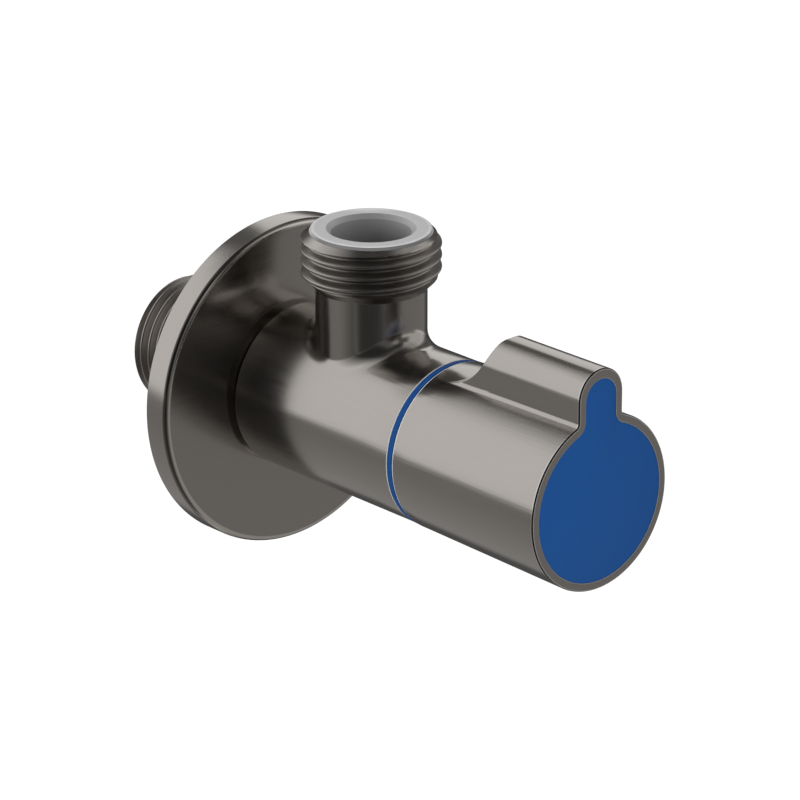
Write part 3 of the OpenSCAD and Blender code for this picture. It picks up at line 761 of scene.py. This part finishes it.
class Nodes:
    """A node tree, with short calls for the nodes that are used here."""

    def __init__(self, tree):
        self.tree = tree

    def add(self, kind, **values):
        """A new node; each value is a property of it, or else one of its inputs."""
        node = self.tree.nodes.new(kind)
        for key, value in values.items():
            if hasattr(node, key):
                setattr(node, key, value)
            else:
                node.inputs[key.replace("_", " ")].default_value = value
        return node

    def link(self, out, into):
        self.tree.links.new(out, into)

    def feed(self, value, into):
        """Gives an input a number, a colour or another node's output."""
        if isinstance(value, (int, float)):
            into.default_value = value
        elif isinstance(value, tuple):
            into.default_value = (*value, 1)
        else:
            self.link(value, into)

    def ramp(self, value, start, stop, low, high):
        """A value that goes evenly from low at start to high at stop, and stays there."""
        node = self.add("ShaderNodeMapRange", From_Min=start, From_Max=stop, To_Min=low, To_Max=high)
        self.link(value, node.inputs["Value"])
        return node.outputs["Result"]

    def spread(self, noise, low, high):
        """A noise's usual range, laid out from low to high."""
        return self.ramp(noise, 0.25, 0.75, low, high)

    def blend(self, share, first, second):
        """A mix of two shader nodes, with the second one's share."""
        node = self.add("ShaderNodeMixShader")
        self.link(share, node.inputs[0])
        self.link(first.outputs[0], node.inputs[1])
        self.link(second.outputs[0], node.inputs[2])
        return node.outputs[0]

    def math(self, operation, a, b, clamp=False):
        node = self.add("ShaderNodeMath", operation=operation, use_clamp=clamp)
        self.feed(a, node.inputs[0])
        self.feed(b, node.inputs[1])
        return node.outputs[0]

    def plus(self, a, b):
        return self.math("ADD", a, b)

    def minus(self, a, b):
        return self.math("SUBTRACT", a, b)

    def times(self, a, b):
        return self.math("MULTIPLY", a, b)

    def part_of(self, value, full):
        """0 to 1 as the value goes from 0 to full."""
        return self.math("MULTIPLY", value, 1 / full, clamp=True)

    def length(self, a, b):
        return self.math("POWER", self.plus(self.times(a, a), self.times(b, b)), 0.5)

    def above(self, value, limit):
        """1 where a coordinate is above a limit in millimetres, else 0."""
        return self.math("GREATER_THAN", value, limit * MM)

    def below(self, value, limit):
        """1 where a coordinate is below a limit in millimetres, else 0."""
        return self.math("LESS_THAN", value, limit * MM)

    def between(self, value, low, high):
        """1 where a coordinate lies between two limits in millimetres, else 0."""
        return self.times(self.above(value, low), self.below(value, high))

    def mix(self, share, first, second):
        """A colour that goes from the first to the second with the share."""
        node = self.add("ShaderNodeMix", data_type="RGBA")
        self.link(share, node.inputs["Factor"])
        self.feed(first, node.inputs[6])
        self.feed(second, node.inputs[7])
        return node.outputs[2]

    def mix_values(self, share, first, second):
        """A value that goes from the first to the second with the share."""
        return self.plus(self.times(first, self.minus(1.0, share)), self.times(second, share))

    def noise(self, vector, scale, detail=2.0, roughness=0.5):
        node = self.add("ShaderNodeTexNoise", Scale=scale, Detail=detail, Roughness=roughness)
        self.link(vector, node.inputs["Vector"])
        return node.outputs["Fac"]

    def brush(self, vector, grain, scale):
        """Noise drawn out into lines along the direction in which grain is small."""
        node = self.add("ShaderNodeMapping", Scale=grain)
        self.link(vector, node.inputs["Vector"])
        return self.noise(node.outputs["Vector"], scale, detail=1.0)

    def separate(self, vector):
        """The X, Y and Z of a vector."""
        node = self.add("ShaderNodeSeparateXYZ")
        self.link(vector, node.inputs[0])
        return node.outputs

    def coordinates(self, kind):
        return self.add("ShaderNodeTexCoord").outputs[kind]


class MaterialNodes(Nodes):
    """A new material's node tree."""

    def __init__(self, name):
        self.material = bpy.data.materials.new(name)
        self.material.use_nodes = True
        super().__init__(self.material.node_tree)
        self.shader = self.tree.nodes["Principled BSDF"]
        self.out = self.tree.nodes["Material Output"]

    def bump(self, height, strength, distance=0.02 * MM):
        node = self.add("ShaderNodeBump", Strength=strength, Distance=distance)
        self.link(height, node.inputs["Height"])
        self.link(node.outputs["Normal"], self.shader.inputs["Normal"])


def shade(rgb, factor):
    return tuple(c * factor for c in rgb)


# Brushed metal

GUNMETAL = (0.43, 0.405, 0.38)
SATIN = 0.19
BODY_STREAK = 2400
DISC_STREAK = 3200
ALONG_AXIS = (1, 0.02, 1)
ACROSS_DISC = (0.02, 1, 1)


def band(first, last, color, dull=False):
    """A coloured band of painted highlight or painted shade between two distances from the wall; a dull one
    doesn't shine as metal.
    """
    return first, last, color, dull


def brushed(name, color, roughness, grain, streak, strength, lines_of=None, thread_shade_of=None, painted_bands=()):
    """Satin metal: fine brush lines along grain, with slow changes of tone and gloss.

    lines_of lays the brush lines another way in some places, and thread_shade_of darkens the threads with
    painted shade and makes them rougher.
    """
    m = MaterialNodes(name)
    where = m.coordinates("Object")
    place = m.separate(where)
    lines = m.brush(where, grain, streak)
    if lines_of:
        lines = lines_of(m, where, lines, streak)
    tone = m.plus(m.times(lines, 0.65), m.times(m.noise(where, 90.0), 0.35))
    base = m.mix(m.spread(tone, 0.0, 1.0), shade(color, 0.98), shade(color, 1.02))
    gloss = m.spread(tone, roughness - 0.03, roughness + 0.03)
    if thread_shade_of:
        base, gloss = thread_shade_of(m, place, color, base, gloss)
    # Painted highlight and painted shade lines along edges, laid in as bands of colour
    dull_share = 0.0
    for first, last, paint, dull in painted_bands:
        within = m.between(place["Y"], -last, -first)
        base = m.mix(within, base, paint)
        if dull:
            dull_share = m.plus(dull_share, within)
    m.link(base, m.shader.inputs["Base Color"])
    m.link(gloss, m.shader.inputs["Roughness"])
    m.shader.inputs["Metallic"].default_value = 1.0
    if dull_share:
        m.link(m.minus(1.0, dull_share), m.shader.inputs["Metallic"])
    m.bump(lines, strength)
    return m.material


def from_outlet(m, where):
    """X and Y from the outlet's axis, Z, and the distance from that axis."""
    place = m.separate(where)
    x, y = place["X"], m.plus(place["Y"], OUTLET_D * MM)
    return x, y, place["Z"], m.length(x, y)


# Heights of the neck's foot and of the outlet thread, and the reach of the foot's fillet
FOOT_LOW = 8.0
NECK_LOW = 13.2
FOOT_REACH = 14.5
OUTLET_THREAD_LOW = 20.1
OUTLET_THREAD_HIGH = 27.6


def neck_lines(m, where, lines, streak):
    """Brush lines that run up the neck, faint ones round its foot and none on the two threads."""
    _, _, z, from_axis = from_outlet(m, where)
    foot = m.times(m.below(from_axis, FOOT_REACH), m.between(z, FOOT_LOW, NECK_LOW))
    turned = m.mix_values(m.above(z, NECK_LOW), lines, m.brush(where, (1, 1, 0.03), streak))
    in_front = m.below(m.separate(where)["Y"], -BARREL_BACK - 0.05)
    plain = m.times(m.below(z, OUTLET_THREAD_LOW), in_front)
    plain = m.times(plain, m.minus(1.0, m.times(foot, 0.8)))
    return m.plus(m.times(m.minus(turned, 0.5), plain), 0.5)


def threads_painted_shade(m, place, color, base, gloss):
    """Painted shade darkens the outlet's thread and the shank behind the disc, and the metal there is
    rougher.
    """
    rougher = 0.12
    outlet = m.between(place["Z"], OUTLET_THREAD_LOW, OUTLET_THREAD_HIGH)
    shank = m.above(place["Y"], -3.0)
    # Painted shade: the outlet's thread at 0.82 and the shank behind the disc at 0.9 of the metal's colour
    base = m.mix(shank, m.mix(outlet, base, shade(color, 0.82)), shade(color, 0.9))
    return base, m.plus(m.plus(gloss, m.times(outlet, rougher)), m.times(shank, rougher))


def disc_lines(m, where, lines, streak):
    """Brush lines straight across the disc's faces, and along the axis on its round walls."""
    place = m.separate(where)
    from_axis = m.length(place["X"], place["Z"])
    inner_r, inner_d = DISC_R - DISC_WALL, DISC_FRONT - DISC_WALL
    behind = m.above(place["Y"], -inner_d + 0.15)
    hub = m.between(from_axis, GROOVE_R + 0.02, HUB_R + 0.05)
    walls = m.times(m.plus(hub, m.above(from_axis, inner_r - 0.05)), behind)
    round_walls = m.math("MAXIMUM", m.above(from_axis, DISC_R - 0.65), walls)
    return m.mix_values(round_walls, lines, m.brush(where, (1, 0.03, 1), streak))


def body_metal():
    """Satin gunmetal, with a painted highlight: a pale line round the barrel's front edge."""
    # Painted highlight: a pale, dull line round the barrel's front edge
    front_edge_highlight = band(BARREL_FRONT - 0.2, BARREL_FRONT + 0.02, (0.46, 0.45, 0.44), dull=True)
    return brushed(
        "gunmetal_body", GUNMETAL, SATIN, ALONG_AXIS, BODY_STREAK, 0.34, neck_lines, threads_painted_shade,
        painted_bands=[front_edge_highlight])


def disc_metal():
    """Satin gunmetal, with a painted shade line and a painted highlight line along the rounded edge of the
    disc.
    """
    # Painted shade line, then painted highlight line, along the disc's rounded front edge
    dark = band(DISC_FRONT - 0.75, DISC_FRONT - 0.25, shade(GUNMETAL, 0.4))
    bright = band(DISC_FRONT - 0.18, DISC_FRONT - 0.001, shade(GUNMETAL, 1.65))
    return brushed(
        "gunmetal_disc", GUNMETAL, SATIN, ACROSS_DISC, DISC_STREAK, 0.06, disc_lines, painted_bands=[dark, bright])


def handle_metal():
    """Satin gunmetal, with a pale painted highlight along the back edge, and at the face fine painted
    lines: a highlight, a black shade line and a grey edge light.
    """
    face_start = HANDLE_FRONT - FACE_EDGE
    painted_bands = [
        # Painted highlight along the back edge
        band(HANDLE_BACK + 0.01, HANDLE_BACK + 0.23, (0.82, 0.81, 0.80), dull=True),
        # Painted highlight where the face's rounded edge begins
        band(face_start - 0.15, face_start, shade(GUNMETAL, 1.4)),
        # Painted shade: a black line near the face's front edge
        band(HANDLE_FRONT - 0.25, HANDLE_FRONT - 0.04, (0.003, 0.003, 0.003), dull=True),
        # Painted grey edge light at the face's front edge
        band(HANDLE_FRONT - 0.04, HANDLE_FRONT - 0.003, (0.22, 0.215, 0.21), dull=True),
    ]
    return brushed("gunmetal_handle", GUNMETAL, SATIN, ALONG_AXIS, BODY_STREAK, 0.34, painted_bands=painted_bands)


# Plastic, rubber and ceramic

BLUE = (0.0092, 0.0712, 0.254)
LINER = (0.47, 0.47, 0.47)
# Painted shade laid in the liner's bore
LINER_SHADE = (0.18, 0.18, 0.18)

# Directions in plan across the liner and to its back, where the photo shows its sides
LINER_ACROSS = (0.766, -0.643)
LINER_BEHIND = (0.643, 0.766)


def moulded(name, color, roughness, grain_scale, strength, variation=0.03, specular=0.5, painted_shading=None):
    """Moulded plastic or rubber: a fine even grain and slight changes of tone.

    tint is a function that lays painted shade and painted highlights over the base.
    """
    m = MaterialNodes(name)
    where = m.coordinates("Object")
    grain = m.noise(where, grain_scale, detail=3.0, roughness=0.6)
    base = m.mix(m.noise(where, 120.0), shade(color, 1 - variation), shade(color, 1 + variation))
    if painted_shading:
        base = painted_shading(m, where, base)
    m.link(base, m.shader.inputs["Base Color"])
    m.link(m.spread(grain, roughness - 0.05, roughness + 0.05), m.shader.inputs["Roughness"])
    m.shader.inputs["Specular IOR Level"].default_value = specular
    m.bump(grain, strength)
    return m.material


def along(m, way, x, y):
    """Distance along a direction in plan."""
    return m.plus(m.times(x, way[0]), m.times(y, way[1]))


def liner_painted_shading(m, where, base):
    """Painted shade darker down the bore, less so at its sides, and on the flange's side towards its front;
    painted highlights paler at the flange's top edge and back.
    """
    x, y, z, from_axis = from_outlet(m, where)
    across, behind = along(m, LINER_ACROSS, x, y), along(m, LINER_BEHIND, x, y)
    # Painted shade in the bore, lighter towards its sides
    aside = m.part_of(m.times(across, across), (7.0 * MM) ** 2)
    bore = m.mix(aside, LINER_SHADE, shade(LINER_SHADE, 2.2))
    down = m.below(z, LINER_TOP - 0.06)
    outside = m.above(from_axis, 7.8)
    # Painted highlight round the flange's top edge
    edge = m.times(m.above(from_axis, 8.5), m.above(z, LINER_TOP - 0.08))
    # Painted highlight, paler towards the flange's back
    far = m.part_of(m.minus(behind, 6.6 * MM), 2.0 * MM)
    top = m.mix(far, base, m.mix(far, LINER, shade(LINER, 1.6)))
    tone = m.mix(edge, top, shade(LINER, 1.25))
    tone = m.mix(m.times(down, m.minus(1.0, outside)), tone, bore)
    # Painted shade on the flange's side, darker towards its front
    beside = m.part_of(m.plus(behind, 5.0 * MM), 5.0 * MM)
    return m.mix(m.times(down, outside), tone, m.mix(beside, shade(LINER, 0.3), LINER))


def materials():
    return {
        "gunmetal_brass": body_metal(),
        "gunmetal_steel": disc_metal(),
        "gunmetal_handle": handle_metal(),
        "mark_blue": moulded("mark_blue", BLUE, 0.55, 9000, 0.05, specular=0.1),
        # The ring's blue is the face's blue darkened, as painted shade
        "ring_blue": moulded("ring_blue", shade(BLUE, 0.74), 0.55, 9000, 0.05, specular=0.1),
        "liner_grey": moulded("liner_grey", LINER, 0.45, 9000, 0.06, specular=0.4, painted_shading=liner_painted_shading),
        "rubber_black": moulded("rubber_black", (0.02, 0.02, 0.02), 0.6, 7000, 0.15),
        "brass_raw": brushed("brass_raw", (0.72, 0.50, 0.22), 0.3, (1, 20, 1), 900, 0.12),
        "steel_small": brushed("steel_small", (0.55, 0.55, 0.54), 0.3, (1, 12, 1), 1500, 0.12),
        "acetal_white": moulded("acetal_white", (0.78, 0.78, 0.74), 0.42, 6000, 0.08),
        "ceramic_white": moulded("ceramic_white", (0.85, 0.84, 0.79), 0.18, 12000, 0.02),
    }


# Studio, in metres and degrees

CENTRE = Vector((0.0, -0.035, 0.005))
SOFT_LIGHT = 0.5
LAMP_DISTANCE = 1.2
CARD_WHITE = (1, 0.988, 0.972, 1)
FLAG_STEPS = 24
FLOOR_HALF = 8.0
FLOOR_Z = -0.9
CAMERA_PLACE = Vector((-0.45918, -0.53111, 0.26741))
CAMERA_TARGET = Vector((-0.006173, -0.035, 0.007225))
CAMERA_LENS = 221.214
CAMERA_SENSOR = 36.0


def sky_direction(azimuth, elevation):
    """Unit vector: azimuth 0 is the handle's side, 90 is +X; elevation is above the horizon."""
    a, e = math.radians(azimuth), math.radians(elevation)
    return Vector((math.sin(a) * math.cos(e), -math.cos(a) * math.cos(e), math.sin(e)))


def seen_or_mirrored(m):
    """1 for rays that come from the camera, a mirror or glass, and 0 for the rest."""
    path = m.add("ShaderNodeLightPath").outputs
    seen = m.math("MAXIMUM", path["Is Camera Ray"], path["Is Glossy Ray"])
    return m.math("MAXIMUM", seen, path["Is Transmission Ray"])


def new_object(name, bm, material):
    """An object of the scene from a bmesh, with one material."""
    mesh = bpy.data.meshes.new(name)
    bm.to_mesh(mesh)
    bm.free()
    mesh.materials.append(material)
    obj = bpy.data.objects.new(name, mesh)
    bpy.context.scene.collection.objects.link(obj)
    return obj


def flag(name, azimuth, elevation, level, soft, radius):
    """A studio flag that only reflections see: a patch of grey light round the object.

    level is its light at the lower and the upper edge, and soft the width in degrees over
    which it fades out at its first and last azimuth and its lowest and highest elevation.
    A flag of smaller radius stands in front of the others.
    """
    width, height = azimuth[1] - azimuth[0], elevation[1] - elevation[0]
    bm = bmesh.new()
    uv = bm.loops.layers.uv.new("UVMap")

    def corner(i, j):
        way = sky_direction(azimuth[0] + width * i / FLAG_STEPS, elevation[0] + height * j / FLAG_STEPS)
        return bm.verts.new(CENTRE + radius * way)

    grid = [[corner(i, j) for j in range(FLAG_STEPS + 1)] for i in range(FLAG_STEPS + 1)]
    for i in range(FLAG_STEPS):
        for j in range(FLAG_STEPS):
            cell = ((i, j), (i + 1, j), (i + 1, j + 1), (i, j + 1))
            face = bm.faces.new([grid[u][v] for u, v in cell])
            for loop, (u, v) in zip(face.loops, cell):
                loop[uv].uv = (u / FLAG_STEPS, v / FLAG_STEPS)
    obj = new_object(name, bm, flag_material(name, level, soft, (width, width, height, height)))
    obj.visible_camera = False
    obj.visible_diffuse = False
    obj.visible_shadow = False


def flag_material(name, level, soft, span):
    """Grey light that changes evenly with height, with edges that fade out."""
    m = MaterialNodes(name)
    m.tree.nodes.remove(m.shader)
    place = m.separate(m.coordinates("UV"))
    across, up = place["X"], place["Y"]
    from_edges = (across, m.minus(1.0, across), up, m.minus(1.0, up))
    cover = 1.0
    for value, fade, length in zip(from_edges, soft, span):
        cover = m.times(cover, m.ramp(value, 0.0, max(fade / length, 1e-4), 0.0, 1.0))
    card = m.add("ShaderNodeEmission", Color=CARD_WHITE)
    m.link(m.ramp(up, 0.0, 1.0, *level), card.inputs["Strength"])
    m.link(m.blend(cover, m.add("ShaderNodeBsdfTransparent"), card), m.out.inputs["Surface"])
    return m.material


def world(level):
    """White where it is seen or mirrored, and even light of the given level on the valve."""
    scene_world = bpy.data.worlds.new("studio")
    bpy.context.scene.world = scene_world
    scene_world.use_nodes = True
    m = Nodes(scene_world.node_tree)
    background = m.tree.nodes["Background"]
    background.inputs["Color"].default_value = (1, 1, 1, 1)
    m.link(m.ramp(seen_or_mirrored(m), 0.0, 1.0, level, 1.0), background.inputs["Strength"])


def floor_material():
    """Pale grey that mostly glows white where it is seen, so that only the shadow shows."""
    m = MaterialNodes("studio_floor")
    m.shader.inputs["Base Color"].default_value = (0.9, 0.9, 0.9, 1)
    m.shader.inputs["Roughness"].default_value = 0.9
    m.bump(m.noise(m.coordinates("Object"), 300.0), 0.02, distance=0.5 * MM)
    glow = m.add("ShaderNodeEmission", Color=(1, 1, 1, 1), Strength=1.12)
    share = m.times(seen_or_mirrored(m), 0.9)
    m.link(m.blend(share, m.shader, glow), m.out.inputs["Surface"])
    return m.material


def studio_floor():
    """A pale floor below the valve. It shows white, less the shadow that falls on it."""
    bm = bmesh.new()
    corners = ((-1, -1), (1, -1), (1, 1), (-1, 1))
    bm.faces.new([bm.verts.new((x * FLOOR_HALF, y * FLOOR_HALF, FLOOR_Z)) for x, y in corners])
    new_object("studio_floor", bm, floor_material())


def aim(obj, way, axis):
    """Turns an object so that one of its own axes points along way."""
    obj.rotation_mode = "QUATERNION"
    obj.rotation_quaternion = way.to_track_quat(axis, "Y")


def lamp(name, azimuth, elevation, size, power):
    """A round soft lamp that gives light and isn't mirrored."""
    data = bpy.data.lights.new(name, "AREA")
    data.shape = "DISK"
    data.size = size
    data.energy = power
    obj = bpy.data.objects.new(name, data)
    bpy.context.scene.collection.objects.link(obj)
    way = sky_direction(azimuth, elevation)
    obj.location = CENTRE + way * LAMP_DISTANCE
    aim(obj, way, "Z")
    obj.visible_glossy = False
    obj.visible_camera = False


def camera():
    """The photo's camera."""
    data = bpy.data.cameras.new("camera")
    obj = bpy.data.objects.new("camera", data)
    bpy.context.scene.collection.objects.link(obj)
    data.lens = CAMERA_LENS
    data.sensor_width = CAMERA_SENSOR
    data.clip_start, data.clip_end = 0.01, 50.0
    obj.location = CAMERA_PLACE
    aim(obj, CAMERA_TARGET - CAMERA_PLACE, "-Z")
    bpy.context.scene.camera = obj


def studio():
    bpy.context.scene.view_settings.view_transform = "Standard"
    camera()
    world(SOFT_LIGHT)
    studio_floor()
    lamp("key", azimuth=255, elevation=10, size=0.7, power=7.0)
    lamp("front", azimuth=335, elevation=12, size=0.8, power=7.0)
    lamp("top", azimuth=185, elevation=80, size=0.8, power=3.5)
    flag("flag_floor_left", (150, 285), (-80, -6), (0.46, 0.23), (18, 4, 2, 5), 0.80)
    flag("flag_floor_right", (-40, 128), (-80, -2), (0.31, 0.25), (4, 4, 2, 4), 0.79)
    flag("flag_viewer_low", (250, 362), (-82, -6), (0.12, 0.035), (42, 30, 2, 3), 0.78)
    flag("flag_behind", (96, 169), (-66, 12), (0.12, 0.03), (10, 9, 3, 6), 0.77)
    flag("flag_viewer", (238, 379), (-10, 72), (0.035, 0.035), (40, 8, 4, 9), 0.765)
    flag("flag_viewer_card", (316, 346), (-15, 46), (0.15, 0.15), (12, 8, 6, 8), 0.76)
    flag("flag_viewer_window", (339, 363), (14, 42), (0.40, 0.40), (6, 5, 7, 8), 0.755)
    flag("flag_back_bar", (147, 180), (0, 60), (0.11, 0.15), (5, 14, 5, 5), 0.75)
    flag("flag_back_top", (160, 200), (39, 58), (0.14, 0.14), (3, 34, 10, 9), 0.7475)
    flag("flag_right_box", (13, 95), (-1, 60), (0.68, 0.64), (8, 10, 3, 6), 0.745)
    flag("flag_right_notch", (5, 40), (17, 47), (0.12, 0.12), (4, 12, 6, 6), 0.74)
    flag("flag_right_foot", (8, 62), (-10, 9), (0.27, 0.27), (6, 10, 3, 5), 0.735)
    flag("flag_right_edge", (89, 126), (-3, 60), (0.12, 0.12), (12, 6, 3, 3), 0.73)
    flag("flag_ceiling", (0, 360), (41, 89.5), (0.10, 0.06), (0, 0, 34, 1), 0.72)


def main():
    mats = materials()
    slots = {s["node"]: s["material_slot"] for s in frame["record"]["subparts"]}
    for name, node in frame["nodes"].items():
        for slot in node.material_slots:
            slot.material = mats[slots[name]]
    valve_body(mats["gunmetal_brass"])
    wall_disc(mats["gunmetal_steel"])
    outlet_liner(mats["liner_grey"])
    marking_ring(mats["ring_blue"])
    handle_shell(mats["gunmetal_handle"])
    handle_insert(mats["mark_blue"])
    studio()


main()
